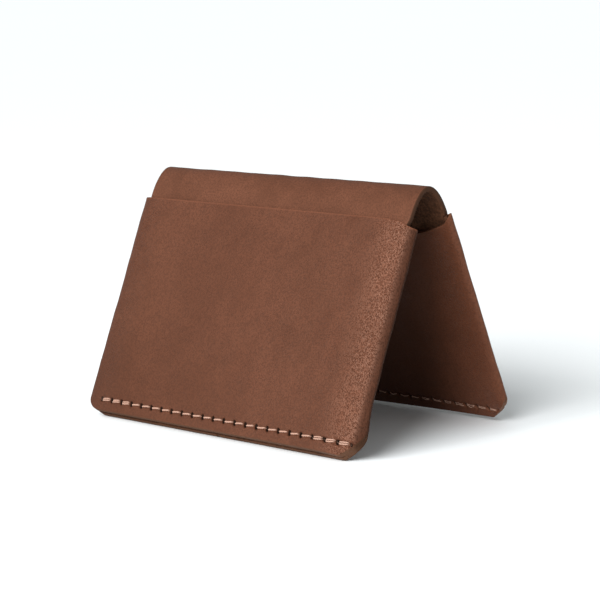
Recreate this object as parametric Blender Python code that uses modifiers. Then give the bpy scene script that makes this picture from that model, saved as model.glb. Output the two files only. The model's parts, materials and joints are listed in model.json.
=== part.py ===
"""Minimalist bifold wallet, standing open like a tent.

Two folded leather sleeves are joined by one leather spine band. Each sleeve is a single sheet: a flat
outer panel wrapped round both sides into two inner flaps that meet in the middle of the inner face.
It is divided here beside its two folds, into the panel and the two folded flaps, so that the pocket
between them is open. The band runs down inside both sleeves as the pocket divider, and one row of
saddle stitching closes each sleeve's bottom edge through every layer. The band is the living hinge: it
bends along two lines on its arch, so it is made here as a front tail, a top and a rear tail.

World frame: +X along the fold, +Y from the front sleeve to the rear one, +Z up, origin under the
middle of the fold at floor level. Metres.

Leg frame, the same for both sleeves: x across, d inwards from the outer face, v up the panel from its
bottom edge. A leg stands by a tilt about X, and side is 1 for the front leg and -1 for the rear one.
"""

import math

import bmesh
import bpy
from mathutils import Vector
from mathutils.geometry import interpolate_bezier

# Driving dimensions, in metres and degrees
SLEEVE_WIDTH = 0.1004
PANEL_HEIGHT = 0.0623
LEATHER = 0.0013
LAYER_GAP = 0.0003
LEG_TILT_DEG = 23.6
FOOT_Y = 0.0343               # outer bottom edge of each panel, from the fold's middle plane
SPINE_TOP = 0.0666
CORNER_RADIUS = 0.0048
BAND_WIDTH = 0.096
FLAP_SLIT = 0.0006            # between the two flaps' meeting edges
SCOOP_DEPTH = 0.0062          # how far the flaps' top edge dips below the outer panel's
SCOOP_START = 0.001           # from the sleeve's side
SCOOP_RUN = 0.0235            # over which the dip levels out
STITCH_PITCH = 0.004
STITCH_COUNT = 23
STITCH_INSET = 0.0031         # row above the bottom edge
STITCH_SHIFT = 0.0018         # row's centre from the sleeve's centre
THREAD = 0.0006
AWL_HOLE = 0.0012
MOUTH_PULL = 0.0045           # how far the arch runs on straight out of a mouth
CREST_PULL = 0.0028           # how far it stays level either side of the crest
HINGE_GAP = 0.0003            # between the band's sections at its outer face
HINGE_RELIEF_DEG = 14.0       # each section's end leans back this much, so that the fold can close

# Fineness of the round stretches
FOLD_SEGMENTS = 10
CORNER_SEGMENTS = 6
SCOOP_SEGMENTS = 8
HALF_ARCH_POINTS = 13
PANEL_ROWS = 4

# Worked out from the driving dimensions
STACK = 3 * LEATHER + 2 * LAYER_GAP
MID_DEPTH = STACK / 2
HALF_WIDTH = SLEEVE_WIDTH / 2
FOLD_CENTRE = HALF_WIDTH - MID_DEPTH    # the folds' centre lines, either side of the middle
TILT = math.radians(LEG_TILT_DEG)

# Cutters reach past what they cut, and a rounding cutter crosses the faces it would only touch
CUT_SPARE = 0.002
CUT_OVERRUN = 0.00005

PARTS = bpy.data.collections.new("minimalist_wallet")
CUTTERS = bpy.data.collections.new("cutters")
END_NAMES = {1: "front", -1: "rear"}


def clear_scene():
    for obj in list(bpy.data.objects):
        bpy.data.objects.remove(obj, do_unlink=True)
    bpy.context.scene.collection.children.link(PARTS)
    bpy.context.scene.collection.children.link(CUTTERS)


def make_material(name, colour, roughness):
    material = bpy.data.materials.new(name)
    material.use_nodes = True
    shader = material.node_tree.nodes["Principled BSDF"]
    shader.inputs["Base Color"].default_value = (*colour, 1.0)
    shader.inputs["Roughness"].default_value = roughness
    shader.inputs["Metallic"].default_value = 0.0
    return material


def add_part(name, mesh, material):
    part = bpy.data.objects.new(name, mesh)
    mesh.materials.append(material)
    PARTS.objects.link(part)
    return part


def add_cutter(name, mesh):
    cutter = bpy.data.objects.new(name, mesh)
    cutter.hide_render = True
    cutter.display_type = "WIRE"
    CUTTERS.objects.link(cutter)
    return cutter


# Shapes

def add_sheet(name, centre_line, axis, length, rows, material):
    """A leather sheet of even thickness: its centre line swept straight along an axis, then thickened."""
    mesh = bpy.data.meshes.new(name)
    mesh.from_pydata(centre_line, [(i, i + 1) for i in range(len(centre_line) - 1)], [])
    sheet = add_part(name, mesh, material)
    sweep = sheet.modifiers.new("sweep", "SCREW")
    sweep.angle = 0.0
    sweep.axis = axis
    sweep.screw_offset = length
    sweep.steps = rows
    sweep.render_steps = rows
    leather = sheet.modifiers.new("leather", "SOLIDIFY")
    leather.thickness = LEATHER
    leather.offset = 0.0
    leather.use_even_offset = True
    return sheet


def plate_mesh(name, loops, half_thickness, place):
    """A flat plate from an outline and any holes. place turns its (a, b, thickness) into (x, y, z)."""
    curve = bpy.data.curves.new(name, "CURVE")
    curve.dimensions = "2D"
    curve.fill_mode = "BOTH"
    curve.extrude = half_thickness
    for loop in loops:
        spline = curve.splines.new("POLY")
        spline.points.add(len(loop) - 1)
        for point, (a, b) in zip(spline.points, loop):
            point.co = (a, b, 0.0, 1.0)
        spline.use_cyclic_u = True
    outline = bpy.data.objects.new(name + "_outline", curve)
    CUTTERS.objects.link(outline)
    mesh = bpy.data.meshes.new_from_object(outline.evaluated_get(bpy.context.evaluated_depsgraph_get()))
    mesh.name = name
    bpy.data.objects.remove(outline, do_unlink=True)
    for vertex in mesh.vertices:
        vertex.co = place(*vertex.co)
    shell = bmesh.new()
    shell.from_mesh(mesh)
    bmesh.ops.remove_doubles(shell, verts=shell.verts, dist=1e-6)
    bmesh.ops.recalc_face_normals(shell, faces=shell.faces)
    shell.to_mesh(mesh)
    shell.free()
    return mesh


def cut(part, cutters):
    for cutter in cutters:
        boolean = part.modifiers.new("cut_by_" + cutter.name, "BOOLEAN")
        boolean.operation = "DIFFERENCE"
        boolean.solver = "EXACT"
        boolean.object = cutter


def shade_smooth(part):
    """Shade the round stretches smooth and keep the cut edges crisp."""
    part.data.shade_smooth()
    part.data.set_sharp_from_angle(angle=math.radians(35))


# Places

def leg_point(side, d, v):
    """World (y, z) of a point in the leg frame."""
    y = -FOOT_Y + v * math.sin(TILT) + d * math.cos(TILT)
    z = STACK * math.sin(TILT) + v * math.cos(TILT) - d * math.sin(TILT)
    return side * y, z


def place_on_leg(obj, side, hinge):
    """Stand a piece modelled in the leg frame on its leg, carried by the leg's hinge empty."""
    obj.parent = hinge
    obj.location = Vector((0.0, *leg_point(side, 0.0, 0.0))) - hinge.location
    obj.rotation_euler = (-side * TILT, 0.0, 0.0)


def half_arch():
    """The band's centre line from the front mouth to the crest, as world (y, z) points."""
    mouth = Vector(leg_point(1, MID_DEPTH, PANEL_HEIGHT))
    crest = Vector((0.0, SPINE_TOP - LEATHER / 2))
    leaving = mouth + MOUTH_PULL * Vector((math.sin(TILT), math.cos(TILT)))
    arriving = crest - Vector((CREST_PULL, 0.0))
    return interpolate_bezier(mouth, leaving, arriving, crest, HALF_ARCH_POINTS)


def bend_index(arch):
    """The point of the half arch where it has made half of its turn."""
    half_turn = (TILT + math.pi / 2) / 2
    leans = [math.atan2(*(after - before)) for before, after in zip(arch[:-2], arch[2:])]
    return 1 + min(range(len(leans)), key=lambda i: abs(leans[i] - half_turn))


def bend_axis(arch):
    """The front bend's axis as (y, z), on the band's outer face, and the band's direction there."""
    i = bend_index(arch)
    along = (arch[i + 1] - arch[i - 1]).normalized()
    outwards = Vector((-along.y, along.x))
    return arch[i] + outwards * LEATHER / 2, along


def hole_positions():
    first = STITCH_SHIFT - STITCH_PITCH * STITCH_COUNT / 2
    return [first + STITCH_PITCH * i for i in range(STITCH_COUNT + 1)]


def add_hinge(side, axis):
    hinge = bpy.data.objects.new(END_NAMES[side] + "_fold", None)
    hinge.empty_display_size = 0.01
    hinge.location = (0.0, side * axis.x, axis.y)
    PARTS.objects.link(hinge)
    return hinge


# Cutters

def corner_cutter(side, end):
    """What rounds one bottom corner of a leg. end is 1 at +X and -1 at -X."""
    centre = HALF_WIDTH - CORNER_RADIUS
    radius = CORNER_RADIUS + CUT_OVERRUN
    outline = []
    for i in range(CORNER_SEGMENTS + 1):
        turn = math.pi / 2 * i / CORNER_SEGMENTS
        x = centre + radius * math.sin(turn)
        v = CORNER_RADIUS - radius * math.cos(turn)
        outline.append((end * x, v))
    outline.append((end * (HALF_WIDTH + CUT_SPARE), CORNER_RADIUS))
    outline.append((end * (HALF_WIDTH + CUT_SPARE), -CUT_SPARE))
    outline.append((end * centre, -CUT_SPARE))
    name = "%s_corner_cutter_%s" % (END_NAMES[side], "right" if end > 0 else "left")
    mesh = plate_mesh(name, [outline], STACK, lambda x, v, t: (x, side * (MID_DEPTH + t), v))
    return add_cutter(name, mesh)


def scoop_cutter(side):
    """What dips the flaps' top edge: steep beside each fold, then level across the middle."""
    right = []
    for i in range(SCOOP_SEGMENTS + 1):
        run = i / SCOOP_SEGMENTS
        dip = SCOOP_DEPTH * (1 - (1 - run) ** 2)
        right.append((HALF_WIDTH - SCOOP_START - SCOOP_RUN * run, PANEL_HEIGHT - dip))
    left = [(-x, v) for x, v in reversed(right)]
    top = PANEL_HEIGHT + CUT_SPARE
    outline = [(right[0][0], top)] + right + left + [(left[-1][0], top)]
    name = END_NAMES[side] + "_scoop_cutter"
    mesh = plate_mesh(name, [outline], MID_DEPTH, lambda x, v, t: (x, side * (2 * MID_DEPTH + t), v))
    return add_cutter(name, mesh)


def awl_cutter(side):
    """The stitch holes, straight through every layer."""
    name = END_NAMES[side] + "_awl_cutter"
    mesh = bpy.data.meshes.new(name)
    shell = bmesh.new()
    for x in hole_positions():
        made = bmesh.ops.create_cube(shell, size=1.0)
        for vertex in made["verts"]:
            vertex.co.x = x + vertex.co.x * AWL_HOLE
            vertex.co.y = side * MID_DEPTH + vertex.co.y * 2 * STACK
            vertex.co.z = STITCH_INSET + vertex.co.z * AWL_HOLE
    shell.to_mesh(mesh)
    shell.free()
    return add_cutter(name, mesh)


def bend_cutter(side, axis, along):
    """The V between two sections of the band: narrow at its outer face, open at its inner one."""
    reach = 1.6 * LEATHER
    half_gap = HINGE_GAP / 2
    spread = half_gap + reach * math.tan(math.radians(HINGE_RELIEF_DEG))
    inwards = Vector((along.y, -along.x))
    corners = [(-half_gap, -CUT_SPARE), (half_gap, -CUT_SPARE), (half_gap, 0.0),
               (spread, reach), (-spread, reach), (-half_gap, 0.0)]
    section = [axis + along * a + inwards * b for a, b in corners]
    name = END_NAMES[side] + "_bend_cutter"
    mesh = plate_mesh(name, [section], BAND_WIDTH, lambda y, z, x: (x, side * y, z))
    return add_cutter(name, mesh)


# Pieces

def add_on_leg(name, side, hinge, line, cutters, material):
    """A stretch of the sleeve's sheet that stands on a leg, from its centre line seen from above."""
    centre_line = [(x, side * d, 0.0) for x, d in line]
    sheet = add_sheet(END_NAMES[side] + name, centre_line, "Z", PANEL_HEIGHT, PANEL_ROWS, material)
    place_on_leg(sheet, side, hinge)
    cut(sheet, cutters)
    shade_smooth(sheet)


def add_sleeve(side, hinge, corners, scoop, awl, material):
    """One folded sheet: its outer panel, and its two folds that run on as the inner flaps."""
    skin = LEATHER / 2
    edge = FOLD_CENTRE - LAYER_GAP
    add_on_leg("_sleeve_panel", side, hinge, [(-edge, skin), (edge, skin)], [*corners, awl], material)
    fold = [(FLAP_SLIT / 2, STACK - skin)]
    for i in range(FOLD_SEGMENTS + 1):
        turn = math.pi * i / FOLD_SEGMENTS
        x = FOLD_CENTRE + (MID_DEPTH - skin) * math.sin(turn)
        fold.append((x, MID_DEPTH + (MID_DEPTH - skin) * math.cos(turn)))
    for end, corner in zip((1, -1), corners):
        name = "_sleeve_right_flap" if end > 0 else "_sleeve_left_flap"
        line = [(end * x, d) for x, d in fold]
        add_on_leg(name, side, hinge, line, [corner, scoop, awl], material)


def add_tail(side, hinge, arch, cutters, material):
    """The band from the bottom seam up through the pocket and out to its bend."""
    line = [Vector(leg_point(1, MID_DEPTH, 0.0))] + arch[:bend_index(arch) + 1]
    start = Vector((-BAND_WIDTH / 2, 0.0, 0.0)) - hinge.location
    centre_line = [start + Vector((0.0, side * p.x, p.y)) for p in line]
    tail = add_sheet(END_NAMES[side] + "_band_tail", centre_line, "X", BAND_WIDTH, 1, material)
    tail.parent = hinge
    cut(tail, cutters)
    shade_smooth(tail)


def add_spine(arch, cutters, material):
    """The band's top section, between the two bends."""
    front = arch[bend_index(arch):]
    rear = [Vector((-p.x, p.y)) for p in reversed(front[:-1])]
    centre_line = [(-BAND_WIDTH / 2, p.x, p.y) for p in front + rear]
    spine = add_sheet("spine_band", centre_line, "X", BAND_WIDTH, 1, material)
    cut(spine, cutters)
    shade_smooth(spine)


def add_thread(side, hinge, material):
    """One waxed thread: a stitch between neighbouring holes on both faces, joined through the holes."""
    holes = hole_positions()
    half = THREAD / 2
    dent = 0.8 * THREAD
    near, far = -LAYER_GAP, STACK + LAYER_GAP
    low, high = near - THREAD, far + THREAD
    outer_face = [(holes[0] - half, low)]
    inner_face = [(holes[0] - half, high)]
    for x in holes[1:-1]:
        outer_face += [(x - half, low), (x, low + dent), (x + half, low)]
        inner_face += [(x - half, high), (x, high - dent), (x + half, high)]
    outer_face.append((holes[-1] + half, low))
    inner_face.append((holes[-1] + half, high))
    loops = [outer_face + inner_face[::-1]]
    for left, right in zip(holes[:-1], holes[1:]):
        loops.append([(left + half, near), (right - half, near), (right - half, far), (left + half, far)])
    name = END_NAMES[side] + "_thread"
    mesh = plate_mesh(name, loops, half, lambda x, d, v: (x, side * d, STITCH_INSET + v))
    place_on_leg(add_part(name, mesh, material), side, hinge)


def build():
    clear_scene()
    sleeve_leather = make_material("sleeve_leather", (0.155, 0.066, 0.041), 0.62)
    band_leather = make_material("band_leather", (0.17, 0.074, 0.047), 0.62)
    waxed_thread = make_material("waxed_thread", (0.50, 0.27, 0.19), 0.7)
    arch = half_arch()
    axis, along = bend_axis(arch)
    bends = []
    for side in (1, -1):
        hinge = add_hinge(side, axis)
        corners = [corner_cutter(side, 1), corner_cutter(side, -1)]
        scoop = scoop_cutter(side)
        awl = awl_cutter(side)
        for cutter in [*corners, scoop, awl]:
            place_on_leg(cutter, side, hinge)
        bend = bend_cutter(side, axis, along)
        bends.append(bend)
        add_sleeve(side, hinge, corners, scoop, awl, sleeve_leather)
        add_tail(side, hinge, arch, [*corners, awl, bend], band_leather)
        add_thread(side, hinge, waxed_thread)
    add_spine(arch, bends, band_leather)


build()
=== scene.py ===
"""The looks of the minimalist bifold wallet: two folded leather sleeves, the spine band and the stitching.

World frame: +X along the fold, +Y from the front sleeve to the rear one, +Z up from the level of the CAD
model's lowest point, in metres.

Leg frame, the same for both sleeves, in millimetres: x across, d inwards from the outer face, v up the
panel from its bottom edge. side is 1 for the front leg and -1 for the rear one.
"""

import json
import math

import bpy
import numpy as np
from mathutils import Matrix, Vector


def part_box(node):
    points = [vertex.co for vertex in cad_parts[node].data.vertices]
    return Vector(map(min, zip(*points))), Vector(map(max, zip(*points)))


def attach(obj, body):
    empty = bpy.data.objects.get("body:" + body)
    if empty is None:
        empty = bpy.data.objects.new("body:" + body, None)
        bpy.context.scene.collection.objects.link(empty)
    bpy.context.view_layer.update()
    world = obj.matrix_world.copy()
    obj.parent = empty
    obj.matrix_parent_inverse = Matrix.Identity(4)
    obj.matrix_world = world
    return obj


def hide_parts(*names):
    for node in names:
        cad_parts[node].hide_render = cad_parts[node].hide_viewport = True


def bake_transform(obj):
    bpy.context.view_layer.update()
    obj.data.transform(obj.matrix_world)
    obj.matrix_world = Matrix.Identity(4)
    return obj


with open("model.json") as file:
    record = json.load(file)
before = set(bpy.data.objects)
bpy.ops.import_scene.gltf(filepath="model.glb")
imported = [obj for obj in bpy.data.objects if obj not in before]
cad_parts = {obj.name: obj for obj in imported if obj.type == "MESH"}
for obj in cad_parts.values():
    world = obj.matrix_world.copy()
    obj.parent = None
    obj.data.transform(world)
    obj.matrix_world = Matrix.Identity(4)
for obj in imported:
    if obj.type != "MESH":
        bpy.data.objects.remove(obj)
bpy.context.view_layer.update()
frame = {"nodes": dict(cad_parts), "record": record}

MM = 0.001
SIDES = {"front": 1, "rear": -1}

# The CAD part, measured in its own frame

def reach(node, direction):
    """How far a CAD node reaches along a direction, as (low, high) in millimetres."""
    vertices = frame["nodes"][node].data.vertices
    along = [vertex.co.dot(direction) for vertex in vertices]
    return min(along) / MM, max(along) / MM


FRONT_MOUNT = next(m for m in frame["record"]["mounts"] if m["name"] == "front_face")
OUTWARDS = Vector(FRONT_MOUNT["axis"]).normalized()
SIN_TILT = OUTWARDS.z
COS_TILT = -OUTWARDS.y
UP_LEG = Vector((0.0, SIN_TILT, COS_TILT))
PANEL_OUT = reach("front_sleeve_panel", OUTWARDS)
STACK = PANEL_OUT[1] - reach("front_sleeve_left_flap", OUTWARDS)[0]
LEATHER = PANEL_OUT[1] - PANEL_OUT[0]
PANEL_BOTTOM, PANEL_TOP = reach("front_sleeve_panel", UP_LEG)
PANEL_HEIGHT = PANEL_TOP - PANEL_BOTTOM
HALF_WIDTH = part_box("front_sleeve_right_flap")[1].x / MM
FOOT_Y = -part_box("front_sleeve_panel")[0].y / MM
HALF_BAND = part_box("spine_band")[1].x / MM
SPINE_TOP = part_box("spine_band")[1].z / MM
THREAD_LOW, THREAD_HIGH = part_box("front_thread")
STITCH_V = sum(reach("front_thread", UP_LEG)) / 2 - PANEL_BOTTOM
STITCH_PITCH = 4.0
HALF_THREAD = 0.3                 # half of the CAD thread's width
STITCHES = round(((THREAD_HIGH.x - THREAD_LOW.x) / MM - 2 * HALF_THREAD) / STITCH_PITCH)
FIRST_HOLE = THREAD_LOW.x / MM + HALF_THREAD
HOLES = FIRST_HOLE + STITCH_PITCH * np.arange(STITCHES + 1)
MID_DEPTH = STACK / 2


def leg_to_world(side, x, d, v):
    """World points, in metres, of points in the leg frame."""
    y = side * (-FOOT_Y + v * SIN_TILT + d * COS_TILT)
    z = STACK * SIN_TILT + v * COS_TILT - d * SIN_TILT
    return np.stack(np.broadcast_arrays(x, y, z), axis=-1) * MM


# Meshes

def smooth_step(x, low, high):
    """0 below low, 1 above high, and a soft rise between them."""
    t = np.clip((x - low) / (high - low), 0.0, 1.0)
    return t * t * (3 - 2 * t)


def bezier(p0, p1, p2, p3, count):
    """Points along one cubic Bezier curve."""
    t = np.linspace(0.0, 1.0, count)[:, None]
    p0, p1, p2, p3 = (np.array(p, float) for p in (p0, p1, p2, p3))
    return (1 - t) ** 3 * p0 + 3 * (1 - t) ** 2 * t * p1 + 3 * (1 - t) * t ** 2 * p2 + t ** 3 * p3


def stations_along(line):
    """How far each point of a line lies along it."""
    return np.concatenate([[0.0], np.cumsum(np.linalg.norm(np.diff(line, axis=0), axis=1))])


def unit(steps):
    """The steps, each made one unit long."""
    return steps / np.linalg.norm(steps, axis=1)[:, None]


def waviness(a, b, seed):
    """A gentle random surface, about -1 to 1, over two coordinates in millimetres."""
    random = np.random.default_rng(seed)
    total = 0.0
    for _ in range(7):
        wave = random.uniform(0.02, 0.16)
        turn = random.uniform(0.0, 2 * math.pi)
        phase = random.uniform(0.0, 2 * math.pi)
        total = total + np.sin(wave * 2 * math.pi * (a * math.cos(turn) + b * math.sin(turn)) + phase)
    return total / 4.0


def add_mesh(name, points, faces, material, attributes):
    """A smooth-shaded piece. attributes holds one number or one vector per point for the material."""
    mesh = bpy.data.meshes.new(name)
    mesh.from_pydata(points.tolist(), [], faces)
    mesh.materials.append(material)
    mesh.shade_smooth()
    for label, values in attributes.items():
        if values.ndim == 2:
            layer = mesh.attributes.new(label, "FLOAT_VECTOR", "POINT")
            layer.data.foreach_set("vector", values.astype(np.float32).ravel())
        else:
            layer = mesh.attributes.new(label, "FLOAT", "POINT")
            layer.data.foreach_set("value", values.astype(np.float32).ravel())
    mesh.update()
    piece = bpy.data.objects.new(name, mesh)
    bpy.context.scene.collection.objects.link(piece)
    return piece


RIM_POINTS = 5                    # points of each rounded rim, between the two faces of a sheet


def rim_points(start, end, axis, bulge, squareness):
    """A rounded rim from the ends of one face to the ends of the other, bulging along an axis."""
    middle = (start + end) / 2
    half = (start - end) / 2
    points = []
    for i in range(1, RIM_POINTS + 1):
        turn = math.pi * i / (RIM_POINTS + 1)
        flat = np.sign(math.cos(turn)) * abs(math.cos(turn)) ** squareness
        point = middle + half * flat
        point[..., axis] += bulge * abs(math.sin(turn)) ** squareness
        points.append(point)
    return np.stack(points, axis=1)


def sheet_faces(columns, loop, outer):
    """Faces of a sheet whose cross-sections are closed loops: the outer face, a rim, the inner face, a rim.
    outer is how many points each face has."""
    faces = []
    for c in range(columns - 1):
        here = c * loop
        there = here + loop
        for k in range(loop):
            after = (k + 1) % loop
            faces.append((here + k, there + k, there + after, here + after))
    for base, flip in ((0, False), ((columns - 1) * loop, True)):
        cap = []
        for k in range(outer - 1):
            back = 2 * outer + RIM_POINTS - 1 - k
            cap.append([base + k, base + k + 1, base + back - 1, base + back])
        cap.append([base + k for k in range(outer - 1, outer + RIM_POINTS + 1)])
        cap.append([base + k % loop for k in range(2 * outer + RIM_POINTS - 1, loop + 1)])
        faces += [tuple(reversed(f)) if flip else tuple(f) for f in cap]
    return faces


# The sleeves

SOFT_START = 35.5                 # where the outer panel starts to roll towards the right fold
SOFT_END = 45.5                   # where the right fold itself starts
SOFT_DROP = 1.15                  # how deep the panel has rolled by then
TIGHT_START = 43.0                # where the left fold starts
FLAP_START = 45.5                 # where a fold is flat again on the inner side
SLIT = 0.3                        # half of the gap between the flaps' meeting edges
SLEEVE_RIM = 0.14                 # how far a sleeve's rims bulge
# The run, rise and roundness of the cut corner at each end, 1 for the right one
CORNER_CUTS = {1: (5.3, 7.0, 1.16), -1: (4.8, 4.8, 1.7)}
CORNER_REACH = 13.0               # up to this height the rows follow the corners' cuts
FOOT_SLANT = 0.9                  # how much lower the innermost layer reaches than the outer face
SPLAY = 0.75                      # how far the right fold spreads at its foot
CORNER_SAG = 1.7                  # how far the front panel's top dips at its right fold
EAR_HEIGHT = 1.15                 # how far the rear leg's right fold stands up at its top
SCOOP_DEPTH = 6.2                 # how far the flaps' top edge dips below the panel's
SCOOP_RUN = 25.5                  # how far from the fold it goes on dipping
WAVE_HEIGHT = 0.10                # how far the leather's faces wander from flat
GROOVE_DEPTH = 0.16               # of the groove that the thread presses
GROOVE_WIDTH = 0.45
HOLE_DEPTH = 0.9                  # of an awl hole, which is longer than wide and leans
HOLE_LENGTH = 0.78
HOLE_WIDTH = 0.52
HOLE_LEAN = math.radians(68.0)


def fold_line(end):
    """One fold's outer surface, from the panel to the flap, as (x, d).
    The right one starts to roll early."""
    if end > 0:
        roll_x = np.linspace(SOFT_START, SOFT_END, 14)
        rolled = (roll_x - SOFT_START) / (SOFT_END - SOFT_START)
        roll = np.stack([roll_x, SOFT_DROP * rolled ** 2], axis=1)
        slope = 2 * SOFT_DROP / (SOFT_END - SOFT_START)
        extreme = (HALF_WIDTH, 2.9)
        onward = (SOFT_END + 3.0, SOFT_DROP + 3.0 * slope)
        first = bezier(roll[-1], onward, (HALF_WIDTH, 2.05), extreme, 26)
        second = bezier(extreme, (HALF_WIDTH, 3.95), (48.9, STACK), (FLAP_START, STACK), 17)
        line = np.vstack([roll[:-1], first, second[1:]])
    else:
        extreme = (HALF_WIDTH, 2.1)
        first = bezier((TIGHT_START, 0.0), (48.9, 0.0), (HALF_WIDTH, 0.55), extreme, 28)
        second = bezier(extreme, (HALF_WIDTH, 3.9), (48.5, STACK), (FLAP_START, STACK), 17)
        line = np.vstack([first, second[1:]])
    return line * np.array([end, 1.0])


def flat_columns(low, high):
    """Column places between low and high, close together at each stitch hole."""
    near_hole = np.array([-0.75, -0.5, -0.25, 0.0, 0.25, 0.5, 0.75, 1.25, 2.0, 2.75])
    places = (HOLES[:, None] + near_hole[None, :]).ravel()
    places = places[(places > low + 0.2) & (places < high - 0.2)]
    return np.concatenate([[low], places, [high]])


def sleeve_path():
    """The sleeve's outer surface seen from above, from one flap's edge round to the other's: (x, d)."""
    fold = fold_line(1)
    mirrored = fold_line(-1)[::-1]
    panel = flat_columns(-TIGHT_START, SOFT_START)
    left_flap = flat_columns(-FLAP_START, -SLIT)[::-1]
    right_flap = flat_columns(SLIT, FLAP_START)[::-1]
    rows = [np.stack([left_flap[:-1], np.full(len(left_flap) - 1, STACK)], axis=1), mirrored[:-1],
            np.stack([panel[:-1], np.zeros(len(panel) - 1)], axis=1), fold[:-1],
            np.stack([right_flap, np.full(len(right_flap), STACK)], axis=1)]
    return np.vstack(rows)


def corner_lift(x):
    """How far the bottom edge is cut up at x by the rounded corners."""
    lift = np.zeros_like(x)
    for end, (run, rise, power) in CORNER_CUTS.items():
        u = np.clip((end * x - (HALF_WIDTH - run)) / run, 0.0, 1.0)
        lift = lift + rise * (1 - (1 - u ** power) ** (1 / power))
    return lift


def foot_drop(side, x, d, v):
    """How much lower the inner layers reach than the outer face: the bottom edge is cut at a slant.
    The slant fades out towards the rear leg's right end."""
    slant = FOOT_SLANT if side > 0 else FOOT_SLANT * (1 - 1.3 * smooth_step(x, -30.0, 46.0))
    return slant * np.clip(d / STACK, 0.0, 1.1) * (1 - smooth_step(v, 0.2, 2.3))


def stitch_dents(x, v):
    """The groove that the thread presses, and the slanted awl holes: (depth, hole share).
    The last hole on the right is only half as deep."""
    inside = smooth_step(x, HOLES[0] - 0.6, HOLES[0]) * (1 - smooth_step(x, HOLES[-1], HOLES[-1] + 0.6))
    groove = GROOVE_DEPTH * np.exp(-((v - STITCH_V) / GROOVE_WIDTH) ** 2) * inside
    nearest = HOLES[np.argmin(np.abs(x[..., None] - HOLES), axis=-1)]
    dx = x - nearest
    dv = v - STITCH_V
    along = -dx * math.cos(HOLE_LEAN) + dv * math.sin(HOLE_LEAN)
    across = dx * math.sin(HOLE_LEAN) + dv * math.cos(HOLE_LEAN)
    hole = np.exp(-((along / HOLE_LENGTH) ** 2 + (across / HOLE_WIDTH) ** 2) ** 2)
    hole = hole * np.where(x > HOLES[-1] - 1.5, 0.5, 1.0)
    return groove + HOLE_DEPTH * hole, hole


def sleeve_top(side, path, stations):
    """The height of the top edge all along the sheet: level on the panel, scooped on the flaps."""
    turn_left = stations[np.argmin(path[:, 0])]
    turn_right = stations[np.argmax(path[:, 0])]
    inwards = np.maximum(turn_left - stations, stations - turn_right)
    run = np.clip(inwards / SCOOP_RUN, 0.0, 1.0)
    top = PANEL_HEIGHT - SCOOP_DEPTH * (1 - (1 - run) ** 2)
    if side < 0:
        ear = smooth_step(inwards, -3.5, -0.8) * (1 - smooth_step(inwards, 0.8, 3.6))
        return top + EAR_HEIGHT * ear * (path[:, 0] > 0)
    return top - CORNER_SAG * smooth_step(inwards, -7.5, 0.0) * (path[:, 0] > 0)


def sleeve_rows(top):
    """The heights of each column's points: close together at the seam, then spread up to the top edge."""
    foot_rows = [0.0, 0.4, 0.9, 1.4, 1.8, 2.1]
    stitch_rows = list(STITCH_V + np.arange(-0.8, 0.81, 0.2))
    rows = np.array(foot_rows + stitch_rows + [4.4, 5.0, 6.0])
    share = np.concatenate([np.linspace(0.03, 0.94, 27), [0.965, 0.982, 0.993, 1.0]])
    v = np.zeros((len(top), len(rows) + len(share)))
    base = rows[-1]
    low_top = top - SLEEVE_RIM
    v[:, :len(rows)] = rows[None, :] + SLEEVE_RIM
    v[:, len(rows):] = base + SLEEVE_RIM + (low_top[:, None] - base - SLEEVE_RIM) * share[None, :]
    return v


def sleeve_faces(side, path, normals, v, seed):
    """The sheet's outer and inner faces as leg frame points, and how much of each point is awl hole.
    The sheet is a little thicker near its foot, where the layers are sewn together."""
    near_fold = smooth_step(np.abs(path[:, None, 0]), 44.0, 48.0)
    near_foot = 1 - smooth_step(v, 5.0, 12.0)
    thickness = LEATHER + (0.2 + 0.22 * near_fold) * near_foot
    outer = np.zeros((*v.shape, 3))
    inner = np.zeros((*v.shape, 3))
    for target, depth in ((outer, 0.0), (inner, 1.0)):
        x = path[:, None, 0] - normals[:, None, 0] * thickness * depth
        d = path[:, None, 1] - normals[:, None, 1] * thickness * depth
        lift = corner_lift(x)
        height = np.where(v < CORNER_REACH, lift + v * (1 - lift / CORNER_REACH), v)
        splay = smooth_step(x, 44.0, HALF_WIDTH) * (1 - smooth_step(height, 3.0, 15.0))
        target[..., 0] = x + SPLAY * splay
        target[..., 1] = d + SPLAY * splay * smooth_step(d, 0.6, 2.6)
        target[..., 2] = height - foot_drop(side, x, d, v)
    dent, hole = stitch_dents(outer[..., 0], outer[..., 2])
    on_flap = outer[..., 1] > MID_DEPTH
    hole = hole * np.where(on_flap, 0.5, 1.0)
    wave = WAVE_HEIGHT * waviness(outer[..., 0] + 90 * on_flap, outer[..., 2], seed)
    push = wave * smooth_step(outer[..., 2], 5.0, 15.0) - dent
    outer[..., 0] += normals[:, None, 0] * push
    outer[..., 1] += normals[:, None, 1] * push
    return outer, inner, hole


def painted_light_tone(side, x, v):
    """The painted light and shade in the leather's colour, 1 where none is painted. Front: a painted
    highlight beside the right fold, painted shade on the right fold itself and on the lower left part.
    Rear: painted light towards the right fold."""
    if side < 0:
        # Painted light on the rear leg, growing towards its right fold.
        return 1 + 0.75 * smooth_step(x, 21.0, 46.0)
    # Painted highlight beside the right fold.
    fold_highlight = smooth_step(x, 37.0, 44.5) * (1 - smooth_step(x, 46.6, 48.8))
    # Painted shade on the lower left part.
    lower_left_shade = smooth_step(-x, -10.0, 48.0) * (1 - smooth_step(v, 6.0, 46.0))
    # Painted shade on the right fold's side.
    return 1 + 0.22 * fold_highlight - 0.42 * smooth_step(x, 47.2, 49.8) - 0.15 * lower_left_shade


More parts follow.
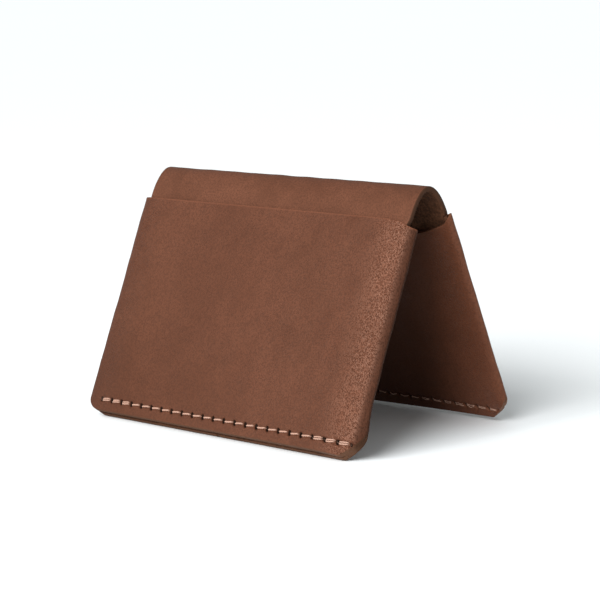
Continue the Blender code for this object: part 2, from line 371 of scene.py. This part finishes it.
def add_sleeve(name, side, seed, material):
    """One sheet folded into a sleeve, with rounded rims, from flap edge to flap edge."""
    path = sleeve_path()
    steps = unit(np.gradient(path, axis=0))
    normals = np.stack([steps[:, 1], -steps[:, 0]], axis=1)
    stations = stations_along(path)
    v = sleeve_rows(sleeve_top(side, path, stations))
    columns, count = v.shape
    outer, inner, hole = sleeve_faces(side, path, normals, v, seed)
    top_rim = rim_points(outer[:, -1], inner[:, -1], 2, SLEEVE_RIM, 0.4)
    bottom_rim = rim_points(inner[:, 0], outer[:, 0], 2, -SLEEVE_RIM, 0.4)
    loops = np.concatenate([outer, top_rim, inner[:, ::-1], bottom_rim], axis=1)
    loop = loops.shape[1]
    faces = sheet_faces(columns, loop, count)
    if side > 0:
        faces = [tuple(reversed(f)) for f in faces]

    x, d, height = loops[..., 0], loops[..., 1], loops[..., 2]
    edge = np.zeros((columns, loop))
    edge[:, count:count + RIM_POINTS] = 1.0
    edge[:, 2 * count + RIM_POINTS:] = 1.0
    edge[[0, -1]] = 1.0
    # The top rim, which gets a painted highlight in the material.
    rim = np.zeros((columns, loop))
    rim[:, count - 1:count + RIM_POINTS] = 1.0
    flesh = np.zeros((columns, loop))
    flesh[:, count + RIM_POINTS:2 * count + RIM_POINTS] = 1.0
    # Painted shade in the awl holes.
    hole_shade = np.zeros((columns, loop))
    hole_shade[:, :count] = hole
    turning = 0.35 * smooth_step(x * side, -12.0, 40.0) + 0.65 * smooth_step(np.abs(x), 36.0, 46.0)
    # Painted shade on the parts lying deep in the stack: the flaps and the back half of each fold, which
    # face into the wallet.
    inner_shade = smooth_step(d, 2.2, 4.4)
    # Painted light and shade, which scale the colour in the material.
    tone = painted_light_tone(side, x, height)
    pattern = np.stack([stations[:, None] + 0 * d, d * 0.4 + seed * 37.0, height], axis=-1)
    attributes = {"edge": edge.ravel(), "rim": rim.ravel(), "flesh": flesh.ravel(), "hole_shade": hole_shade.ravel(),
                  "turning": turning.ravel(), "inner_shade": inner_shade.ravel(), "tone": tone.ravel(),
                  "pattern": pattern.reshape(-1, 3)}
    points = leg_to_world(side, x, d, height)
    return add_mesh(name, points.reshape(-1, 3), faces, material, attributes)


# The spine band

BAND_RIM = 0.3                    # how far the band's raw edges bulge
BAND_WAVE = 0.06                  # how far its faces wander from smooth near the crest
BAND_SEED = 5                     # one seed, so that the two halves meet in one wave
FOOT_TAPER = 0.1                  # share by which the band's right half is narrower inside a sleeve
SPINE_FLARE = 0.8                 # how far the arch's left end reaches past the band's


def arch_line():
    """The band's centre line from the front leg's foot over to the crest, as (y, z) in millimetres."""
    mouth = leg_to_world(1, 0.0, MID_DEPTH, PANEL_HEIGHT)[1:] / MM
    foot = leg_to_world(1, 0.0, MID_DEPTH, 0.4)[1:] / MM
    crest = np.array([0.0, SPINE_TOP - LEATHER / 2])
    leaving = mouth + 4.5 * np.array([SIN_TILT, COS_TILT])
    arriving = crest - np.array([2.8, 0.0])
    arch = bezier(mouth, leaving, arriving, crest, 46)
    share = np.concatenate([np.linspace(0.0, 0.9, 20), np.linspace(0.91, 0.99, 8)])[:, None]
    leg = foot + (mouth - foot) * share
    return np.vstack([leg, arch]), mouth, crest


def add_band_half(name, side, seed, material):
    """The band from one leg's seam up through its sleeve and over to the crest.
    Gives the piece, and the mouth and the crest in the world. The cut at the crest is shaded flat, so that
    the two halves meet unseen."""
    line, mouth, crest = arch_line()
    steps = np.gradient(line, axis=0)
    steps[-1] = (1.0, 0.0)
    steps = unit(steps)
    normals = np.stack([-steps[:, 1], steps[:, 0]], axis=1)
    stations = stations_along(line)

    across = np.linspace(-HALF_BAND + BAND_RIM, HALF_BAND - BAND_RIM, 97)
    columns = len(line)
    count = len(across)
    near_foot = 1 - smooth_step(stations, 7.0, 16.0)
    half_thickness = LEATHER / 2 + 0.12 * near_foot
    near_crest = smooth_step(stations, stations[-1] - 14.0, stations[-1])
    in_arch = smooth_step(stations, PANEL_HEIGHT - 9.0, PANEL_HEIGHT + 1.0)

    def surface(sign):
        """The band's outer face for 1, or its inner face for -1."""
        flare = SPINE_FLARE * smooth_step(-across, 20.0, HALF_BAND)
        x = across[None, :] - flare[None, :] * in_arch[:, None]
        x = x * (1 - FOOT_TAPER * (1 - in_arch[:, None]) * (across[None, :] > 0))
        wave = BAND_WAVE * waviness(x, stations[:, None], seed) * near_crest[:, None]
        offset = sign * half_thickness[:, None] + wave
        y = line[:, None, 0] + normals[:, None, 0] * offset
        z = line[:, None, 1] + normals[:, None, 1] * offset
        return np.stack(np.broadcast_arrays(x, y, z), axis=-1)

    outer = surface(1.0)
    inner = surface(-1.0)
    right_rim = rim_points(outer[:, -1], inner[:, -1], 0, BAND_RIM, 0.5)
    left_rim = rim_points(inner[:, 0], outer[:, 0], 0, -BAND_RIM, 0.5)
    loops = np.concatenate([outer, right_rim, inner[:, ::-1], left_rim], axis=1)
    loop = loops.shape[1]
    at_foot = 1 - smooth_step(stations, 0.0, 8.0)
    drop = foot_drop(side, loops[..., 0], MID_DEPTH, stations[:, None])
    rise = corner_lift(loops[..., 0]) * at_foot[:, None] - drop
    loops = loops + np.array([0.0, SIN_TILT, COS_TILT]) * rise[..., None]

    faces = sheet_faces(columns, loop, count)
    edge = np.zeros((columns, loop))
    edge[:, count:count + RIM_POINTS] = 1.0
    edge[:, 2 * count + RIM_POINTS:] = 1.0
    edge[0] = 1.0
    flesh = np.zeros((columns, loop))
    flesh[:, count + RIM_POINTS:2 * count + RIM_POINTS] = 1.0
    zeros = np.zeros((columns, loop))
    from_crest = side * (stations[:, None] - stations[-1])
    pattern = np.stack([loops[..., 0], zeros + 11.0, from_crest + zeros], axis=-1)
    attributes = {"edge": edge.ravel(), "flesh": flesh.ravel(), "tone": zeros.ravel() + 1.0,
                  "pattern": pattern.reshape(-1, 3)}
    for absent in ("rim", "hole_shade", "turning", "inner_shade"):
        attributes[absent] = zeros.ravel()
    points = loops * MM
    points[..., 1] *= side
    if side > 0:
        faces = [tuple(reversed(f)) for f in faces]
    piece = add_mesh(name, points.reshape(-1, 3), faces, material, attributes)
    polygons = piece.data.polygons
    crest_end = range(len(polygons) - count - 1, len(polygons))
    for i in crest_end:
        polygons[i].use_smooth = False
    mouth_world = (0.0, side * mouth[0] * MM, mouth[1] * MM)
    crest_world = (0.0, 0.0, crest[1] * MM)
    return piece, mouth_world, crest_world


# Materials


class Graph:
    """A material's node tree, with short calls for the nodes that the leathers share."""

    def __init__(self, name):
        self.material = bpy.data.materials.new(name)
        self.material.use_nodes = True
        self.nodes = self.material.node_tree.nodes
        self.links = self.material.node_tree.links
        self.shader = self.nodes["Principled BSDF"]

    def plug(self, value, socket):
        if isinstance(value, bpy.types.NodeSocket):
            self.links.new(value, socket)
        elif isinstance(value, (tuple, list)) and len(value) == 3 and socket.type == "RGBA":
            socket.default_value = (*value, 1.0)
        else:
            socket.default_value = value

    def attribute(self, name, output):
        node = self.nodes.new("ShaderNodeAttribute")
        node.attribute_name = name
        return node.outputs[output]

    def noise(self, coords, scale, detail=3.0, roughness=0.55, distortion=0.0):
        node = self.nodes.new("ShaderNodeTexNoise")
        self.plug(coords, node.inputs["Vector"])
        self.plug(scale, node.inputs["Scale"])
        self.plug(detail, node.inputs["Detail"])
        self.plug(roughness, node.inputs["Roughness"])
        self.plug(distortion, node.inputs["Distortion"])
        return node.outputs["Fac"]

    def cells(self, coords, scale, feature="SMOOTH_F1", smoothness=0.4):
        node = self.nodes.new("ShaderNodeTexVoronoi")
        node.feature = feature
        self.plug(coords, node.inputs["Vector"])
        self.plug(scale, node.inputs["Scale"])
        if feature == "SMOOTH_F1":
            self.plug(smoothness, node.inputs["Smoothness"])
        return node.outputs["Distance"]

    def math(self, operation, a, b=0.0, clamp=False):
        node = self.nodes.new("ShaderNodeMath")
        node.operation = operation
        node.use_clamp = clamp
        self.plug(a, node.inputs[0])
        self.plug(b, node.inputs[1])
        return node.outputs[0]

    def spread(self, value, low, high, to_low=0.0, to_high=1.0):
        node = self.nodes.new("ShaderNodeMapRange")
        node.interpolation_type = "SMOOTHSTEP"
        self.plug(value, node.inputs["Value"])
        self.plug(low, node.inputs["From Min"])
        self.plug(high, node.inputs["From Max"])
        self.plug(to_low, node.inputs["To Min"])
        self.plug(to_high, node.inputs["To Max"])
        return node.outputs["Result"]

    def mix(self, share, a, b, kind="MIX"):
        node = self.nodes.new("ShaderNodeMix")
        node.data_type = "RGBA"
        node.blend_type = kind
        self.plug(share, node.inputs["Factor"])
        self.plug(a, node.inputs["A"])
        self.plug(b, node.inputs["B"])
        return node.outputs["Result"]

    def stretch(self, coords, factors):
        node = self.nodes.new("ShaderNodeVectorMath")
        node.operation = "MULTIPLY"
        self.plug(coords, node.inputs[0])
        node.inputs[1].default_value = factors
        return node.outputs[0]

    def turned(self, coords, degrees, factors):
        """The coordinates turned in the plane of the leather, then stretched."""
        node = self.nodes.new("ShaderNodeMapping")
        node.vector_type = "POINT"
        self.plug(coords, node.inputs["Vector"])
        node.inputs["Rotation"].default_value = (0.0, math.radians(degrees), 0.0)
        return self.stretch(node.outputs[0], factors)

    def warped(self, coords, scale, share):
        """The coordinates pushed about by a soft noise."""
        noise = self.nodes.new("ShaderNodeTexNoise")
        self.plug(scale, noise.inputs["Scale"])
        self.plug(coords, noise.inputs["Vector"])
        pushed = self.nodes.new("ShaderNodeVectorMath")
        pushed.operation = "ADD"
        self.plug(coords, pushed.inputs[0])
        self.plug(noise.outputs["Color"], pushed.inputs[1])
        blend = self.nodes.new("ShaderNodeMix")
        blend.data_type = "VECTOR"
        self.plug(share, blend.inputs["Factor"])
        vector_sockets = [socket for socket in blend.inputs if socket.type == "VECTOR"]
        self.plug(coords, vector_sockets[-2])
        self.plug(pushed.outputs[0], vector_sockets[-1])
        return blend.outputs[1]

    def shade(self, colour, factor):
        """The colour made lighter or darker by a factor."""
        node = self.nodes.new("ShaderNodeVectorMath")
        node.operation = "SCALE"
        self.plug(colour, node.inputs[0])
        self.plug(factor, node.inputs["Scale"])
        return node.outputs[0]

    def bump(self, height, distance, strength, normal=None):
        node = self.nodes.new("ShaderNodeBump")
        self.plug(height, node.inputs["Height"])
        self.plug(distance, node.inputs["Distance"])
        self.plug(strength, node.inputs["Strength"])
        if normal is not None:
            self.plug(normal, node.inputs["Normal"])
        return node.outputs["Normal"]

    def finish(self, colour, roughness, normal, specular, tint=(1.0, 1.0, 1.0), sheen=0.0):
        self.plug(colour, self.shader.inputs["Base Color"])
        self.plug(roughness, self.shader.inputs["Roughness"])
        self.plug(normal, self.shader.inputs["Normal"])
        self.shader.inputs["Specular IOR Level"].default_value = specular
        self.shader.inputs["Specular Tint"].default_value = (*tint, 1.0)
        self.shader.inputs["Sheen Weight"].default_value = sheen
        return self.material


def leather(name, dark, light, edge_colour, flesh_colour):
    """Soft full-grain leather: mottled brown, fine pores, pebbles where it turns, raw edges, suede back.
    On the sleeves also painted shade on the inner parts and in the awl holes, a painted highlight on the
    top rim, and the painted light and shade of the tone attribute.
    """
    g = Graph(name)
    coords = g.attribute("pattern", "Vector")
    edge = g.attribute("edge", "Fac")
    flesh = g.attribute("flesh", "Fac")
    hole_shade = g.attribute("hole_shade", "Fac")
    turning = g.attribute("turning", "Fac")
    inner_shade = g.attribute("inner_shade", "Fac")

    clouds = g.noise(coords, 0.05, 3.0, 0.5, 0.4)
    blotches = g.noise(coords, 0.25, 4.0, 0.6)
    tiny = g.noise(coords, 2.1, 3.0, 0.65)
    mottling = g.math("ADD", g.math("MULTIPLY", clouds, 0.6), g.math("MULTIPLY", blotches, 0.4))
    colour = g.mix(g.spread(mottling, 0.36, 0.64), dark, light)
    colour = g.mix(g.spread(tiny, 0.38, 0.58, 0.55, 0.0), colour, tuple(c * 0.55 for c in dark))
    specks = g.spread(g.cells(coords, 0.85, "F1"), 0.08, 0.24, 1.0, 0.0)
    some = g.spread(g.noise(coords, 0.35, 2.0, 0.5), 0.48, 0.62)
    colour = g.mix(g.math("MULTIPLY", g.math("MULTIPLY", specks, some), 0.45), colour,
                   tuple(c * 0.45 for c in dark))
    # Painted shade on the sleeves' inner parts.
    colour = g.mix(g.math("MULTIPLY", inner_shade, 0.4), colour, tuple(c * 0.45 for c in dark))
    nap = g.spread(g.noise(coords, 1.5, 5.0, 0.75), 0.36, 0.64)
    suede = g.mix(nap, tuple(c * 0.35 for c in flesh_colour), flesh_colour)
    colour = g.mix(flesh, colour, suede)
    fibres = g.noise(g.stretch(coords, (0.25, 6.0, 2.0)), 1.1, 4.0, 0.7)
    raw_edge = g.mix(fibres, tuple(c * 0.62 for c in edge_colour), edge_colour)
    colour = g.mix(g.spread(edge, 0.4, 0.9), colour, raw_edge)
    # Painted light and shade: tone scales the colour, 1 where none is painted.
    tone = g.attribute("tone", "Fac")
    colour = g.shade(colour, tone)
    # Painted highlight along the top rim.
    rim = g.attribute("rim", "Fac")
    colour = g.mix(g.math("MULTIPLY", rim, 0.6), colour, tuple(c * 1.5 for c in light))
    # Painted shade, nearly black, in the awl holes.
    colour = g.mix(g.spread(hole_shade, 0.12, 0.5), colour, tuple(c * 0.05 for c in dark))

    bent_coords = g.warped(coords, 0.8, 0.35)
    slanted = g.turned(bent_coords, 40.0, (1.5, 1.0, 0.85))
    pores = g.spread(g.cells(slanted, 2.0, "F1"), 0.10, 0.52, 0.0, 1.0)
    lumps = g.noise(slanted, 1.6, 2.0, 0.5)
    pebble = g.math("ADD", g.math("MULTIPLY", pores, 0.75), g.math("MULTIPLY", lumps, 0.7))
    visible = g.math("ADD", 0.19, g.math("MULTIPLY", turning, 0.12))
    colour = g.mix(g.math("MULTIPLY", g.math("SUBTRACT", 1.0, pores), visible), colour,
                   tuple(c * 0.4 for c in dark))
    small = g.cells(bent_coords, 3.4, "SMOOTH_F1", 0.5)
    patchy = g.spread(g.noise(coords, 0.09, 3.0, 0.5), 0.35, 0.65, 0.12, 0.42)
    amount = g.math("ADD", patchy, g.math("MULTIPLY", turning, 0.8), clamp=True)
    amount = g.math("MULTIPLY", amount, g.math("SUBTRACT", 1.0, flesh, clamp=True))
    normal = g.bump(g.noise(coords, 0.12, 2.0, 0.5), 0.0006, 0.3)
    normal = g.bump(g.math("MULTIPLY", small, g.math("ADD", amount, 0.35)), 0.00006, 0.8, normal)
    normal = g.bump(g.math("MULTIPLY", pebble, amount), 0.00014, 1.0, normal)
    normal = g.bump(g.math("MULTIPLY", g.noise(coords, 2.2, 4.0, 0.7), flesh), 0.0003, 0.8, normal)
    roughness = g.math("ADD", g.spread(blotches, 0.3, 0.7, 0.58, 0.66), g.math("MULTIPLY", flesh, 0.3))
    roughness = g.math("SUBTRACT", roughness, g.math("MULTIPLY", turning, 0.26))
    # Rougher where shade is painted.
    darker = g.math("MAXIMUM", g.math("SUBTRACT", 1.0, tone), 0.0)
    roughness = g.math("ADD", roughness, g.math("MULTIPLY", darker, 1.1))
    roughness = g.math("ADD", roughness, g.math("MULTIPLY", edge, 0.3), clamp=True)
    return g.finish(colour, roughness, normal, 0.3, (1.0, 0.62, 0.46))


def waxed_thread():
    """Beige waxed thread, with painted shade in the groove where its two plies meet."""
    g = Graph("waxed_thread_look")
    coords = g.attribute("pattern", "Vector")
    seam = g.attribute("seam", "Fac")
    shade = g.noise(coords, 1.6, 3.0, 0.6)
    colour = g.mix(shade, (0.30, 0.165, 0.115), (0.45, 0.27, 0.20))
    # Painted shade in the groove between the plies.
    colour = g.mix(g.math("MULTIPLY", seam, 0.65), colour, (0.11, 0.05, 0.033))
    fuzz = g.noise(g.stretch(coords, (1.0, 5.0, 5.0)), 4.0, 3.0, 0.7)
    normal = g.bump(fuzz, 0.00005, 0.5)
    roughness = g.spread(shade, 0.3, 0.7, 0.5, 0.68)
    return g.finish(colour, roughness, normal, 0.4)


# The stitching

PLY_SIDES = 12
THREAD_RADIUS = 0.25
TWIST = 1.35                      # length of one full turn of the two plies
DOUBLED_GAP = 0.22                # how far each of two doubled threads lies from the row
INSET_LEFT = 0.72                 # from a hole's middle to where the thread leaves it
INSET_RIGHT = 0.78                # from where the thread goes in to the next hole's middle
SUNK = 0.85                       # how deep the thread's ends lie in their holes
COMES_UP = 0.93                   # how far the thread rises from there


def strand(points, phase, radius):
    """A two-ply thread along a line of points: (points, faces, seam, pattern)."""
    steps = unit(np.gradient(points, axis=0))
    side = unit(np.cross(steps, np.array([0.0, 0.0, 1.0])))
    up = np.cross(side, steps)
    stations = stations_along(points)
    angles = 2 * math.pi * np.arange(PLY_SIDES) / PLY_SIDES
    twist = stations / TWIST * 2 * math.pi + phase
    lobes = np.abs(np.cos(angles[None, :] - twist[:, None]))
    reach_out = radius * (0.74 + 0.30 * lobes)
    cosines = np.cos(angles)[None, :, None]
    sines = np.sin(angles)[None, :, None]
    ring = side[:, None, :] * cosines + up[:, None, :] * sines
    skin = points[:, None, :] + ring * reach_out[..., None]
    faces = []
    for i in range(len(points) - 1):
        for k in range(PLY_SIDES):
            after = (k + 1) % PLY_SIDES
            faces.append((i * PLY_SIDES + k, i * PLY_SIDES + after,
                          (i + 1) * PLY_SIDES + after, (i + 1) * PLY_SIDES + k))
    last = (len(points) - 1) * PLY_SIDES
    faces.append(tuple(reversed(range(PLY_SIDES))))
    faces.append(tuple(last + k for k in range(PLY_SIDES)))
    # Where the two plies meet: the groove that gets painted shade.
    seam = (1 - lobes) ** 2
    pattern = np.stack([stations[:, None] + 0 * lobes + phase, np.cos(angles)[None, :] + 0 * lobes,
                        np.sin(angles)[None, :] + 0 * lobes], axis=-1)
    return skin.reshape(-1, 3), faces, seam.ravel(), pattern.reshape(-1, 3)


def surface_depth(x):
    """Depth of the outer face at x: 0 on the panel, more where the fold turns."""
    right = fold_line(1)
    right = right[:np.argmax(right[:, 0])]
    left = fold_line(-1)
    left = left[:np.argmin(left[:, 0])][::-1]
    return np.interp(x, np.append(left[:, 0], right[:, 0]), np.append(left[:, 1], right[:, 1]))


def add_stitching(name, side, seed, material):
    """The saddle stitches of one leg, on its outer and inner faces, doubled at both ends.
    The inner ones are thinner and lie less evenly."""
    random = np.random.default_rng(seed)
    all_points, all_faces, all_seams, all_patterns = [], [], [], []
    total = 0
    for face in ("outer", "inner"):
        for i in range(STITCHES):
            left, right = HOLES[i], HOLES[i + 1]
            loose = face == "inner"
            doubled = i < 3 or i >= STITCHES - (7 if loose else 3)
            offsets = (DOUBLED_GAP, -DOUBLED_GAP) if doubled else (0.0,)
            for offset in offsets:
                jitter = random.normal(0.0, 0.09 if loose else 0.05, 4)
                phase = random.uniform(0.0, math.pi)
                share = np.linspace(0.0, 1.0, 30)
                start = left + INSET_LEFT + jitter[0]
                end = right - INSET_RIGHT + jitter[1]
                x = start + (end - start) * share
                rise = np.minimum(share, 1 - share) * (end - start)
                depth = SUNK - COMES_UP * smooth_step(rise, -0.06, 0.26)
                slant = 0.13 if face == "outer" else -0.1
                v = STITCH_V + offset + slant * (share - 0.5) * 2 + jitter[2] * np.sin(math.pi * share)
                if face == "outer":
                    d = surface_depth(x) + depth
                else:
                    d = STACK - depth
                    v = v + jitter[3] * np.sin(3 * math.pi * share)
                radius = THREAD_RADIUS * (0.85 if doubled else 1.0) * (0.52 if loose else 1.0)
                leg = np.stack([x, d, v], axis=-1)
                skin, faces, seam, pattern = strand(leg, phase, radius)
                all_points.append(leg_to_world(side, skin[:, 0], skin[:, 1], skin[:, 2]))
                all_faces += [tuple(total + k for k in f) for f in faces]
                all_seams.append(seam)
                all_patterns.append(pattern + i * 3.1)
                total += len(skin)
    if side < 0:
        all_faces = [tuple(reversed(f)) for f in all_faces]
    attributes = {"seam": np.concatenate(all_seams), "pattern": np.concatenate(all_patterns)}
    return add_mesh(name, np.concatenate(all_points), all_faces, material, attributes)


# The object


def build_wallet():
    sleeve_look = leather("sleeve_leather_look", (0.066, 0.0217, 0.0107), (0.083, 0.0284, 0.0146),
                          (0.100, 0.044, 0.0225), (0.085, 0.035, 0.018))
    band_look = leather("band_leather_look", (0.076, 0.0262, 0.0132), (0.100, 0.0360, 0.0190),
                        (0.060, 0.027, 0.015), (0.100, 0.042, 0.021))
    thread_look = waxed_thread()
    for seed, (end, side) in enumerate(SIDES.items(), start=1):
        body = end + "_leg"
        sleeve = add_sleeve(end + "_sleeve", side, seed, sleeve_look)
        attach(sleeve, body)
        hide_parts(end + "_sleeve_panel", end + "_sleeve_left_flap", end + "_sleeve_right_flap")
        stitching = add_stitching(end + "_stitching", side, seed + 10, thread_look)
        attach(stitching, body)
        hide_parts(end + "_thread")
        band, mouth, crest = add_band_half(end + "_band_half", side, BAND_SEED, band_look)
        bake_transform(band)
        if side > 0:
            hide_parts("front_band_tail", "spine_band")
        else:
            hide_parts("rear_band_tail")


# The studio

AMBIENT = 0.45                    # the world's strength as a light
BACKDROP = 1.1                    # and as the camera sees it
FLOOR_SIZE = 16.0
MIDDLE = Vector((0.0, 0.0, 0.03))
BOX_FROM_MIDDLE = 0.9 * Vector((-0.16, -0.84, 0.52))
CAMERA_PLACE = Vector((0.4156, -0.4391, 0.1275))
YAW = math.radians(43.32)
PITCH = math.radians(8.94)
ROLL = math.radians(-1.15)
LENS = 133.7


def add_floor():
    """White paper, just below the lowest layer of the bottom edges."""
    mesh = bpy.data.meshes.new("floor")
    half = FLOOR_SIZE / 2
    level = -FOOT_SLANT * COS_TILT * MM
    corners = [(-half, -half, level), (half, -half, level), (half, half, level), (-half, half, level)]
    mesh.from_pydata(corners, [], [(0, 1, 2, 3)])
    floor = bpy.data.objects.new("floor", mesh)
    bpy.context.scene.collection.objects.link(floor)
    g = Graph("floor_paper")
    coords = g.nodes.new("ShaderNodeTexCoord").outputs["Object"]
    tone = g.noise(coords, 3.0, 2.0, 0.5)
    colour = g.mix(tone, (0.92, 0.95, 0.962), (0.93, 0.96, 0.972))
    normal = g.bump(g.noise(coords, 900.0, 2.0, 0.5), 0.0001, 0.1)
    mesh.materials.append(g.finish(colour, 0.6, normal, 0.2))


def add_soft_sun(name, towards, spread_deg, strength):
    """A wide sun. towards points from the wallet to it."""
    data = bpy.data.lights.new(name, "SUN")
    data.angle = math.radians(spread_deg)
    data.energy = strength
    light = bpy.data.objects.new(name, data)
    light.rotation_euler = (-Vector(towards)).to_track_quat("-Z", "Y").to_euler()
    bpy.context.scene.collection.objects.link(light)


def add_light(name, location, target, size, power, colour):
    """A softbox that faces its target."""
    data = bpy.data.lights.new(name, "AREA")
    data.shape = "RECTANGLE"
    data.size = size[0]
    data.size_y = size[1]
    data.energy = power
    data.color = colour
    light = bpy.data.objects.new(name, data)
    light.location = location
    light.rotation_euler = (Vector(target) - Vector(location)).to_track_quat("-Z", "Y").to_euler()
    bpy.context.scene.collection.objects.link(light)


def add_studio():
    """The white backdrop and the two lights, both in front of the wallet."""
    world = bpy.data.worlds.new("studio")
    world.use_nodes = True
    nodes = world.node_tree.nodes
    background = nodes["Background"]
    background.inputs["Color"].default_value = (0.97, 1.0, 1.0, 1.0)
    seen = nodes.new("ShaderNodeLightPath").outputs["Is Camera Ray"]
    strength = nodes.new("ShaderNodeMapRange")
    strength.inputs["To Min"].default_value = AMBIENT
    strength.inputs["To Max"].default_value = BACKDROP
    world.node_tree.links.new(seen, strength.inputs["Value"])
    world.node_tree.links.new(strength.outputs["Result"], background.inputs["Strength"])
    bpy.context.scene.world = world
    add_soft_sun("key", (0.15, -0.85, 0.5), 40.0, 4.3)
    add_light("side_box", MIDDLE + BOX_FROM_MIDDLE, MIDDLE, (0.26, 0.26), 3.3, (1.0, 1.0, 1.0))
    bpy.context.scene.view_settings.view_transform = "Standard"
    bpy.context.scene.view_settings.look = "None"


def add_camera():
    """The camera at the photographed angle: in front, to the right and a little above."""
    level_share = math.cos(PITCH)
    forward = Vector((-math.sin(YAW) * level_share, math.cos(YAW) * level_share, -math.sin(PITCH)))
    level = forward.cross(Vector((0.0, 0.0, 1.0))).normalized()
    upright = level.cross(forward)
    right = level * math.cos(ROLL) + upright * math.sin(ROLL)
    up = upright * math.cos(ROLL) - level * math.sin(ROLL)
    data = bpy.data.cameras.new("camera")
    data.sensor_width = 36.0
    data.lens = LENS
    data.clip_start = 0.01
    data.clip_end = 50.0
    camera = bpy.data.objects.new("camera", data)
    turned = Matrix((right, up, -forward)).transposed().to_4x4()
    camera.matrix_world = Matrix.Translation(CAMERA_PLACE) @ turned
    bpy.context.scene.collection.objects.link(camera)
    bpy.context.scene.camera = camera


build_wallet()
add_floor()
add_studio()
add_camera()

bpy.context.view_layer.update()
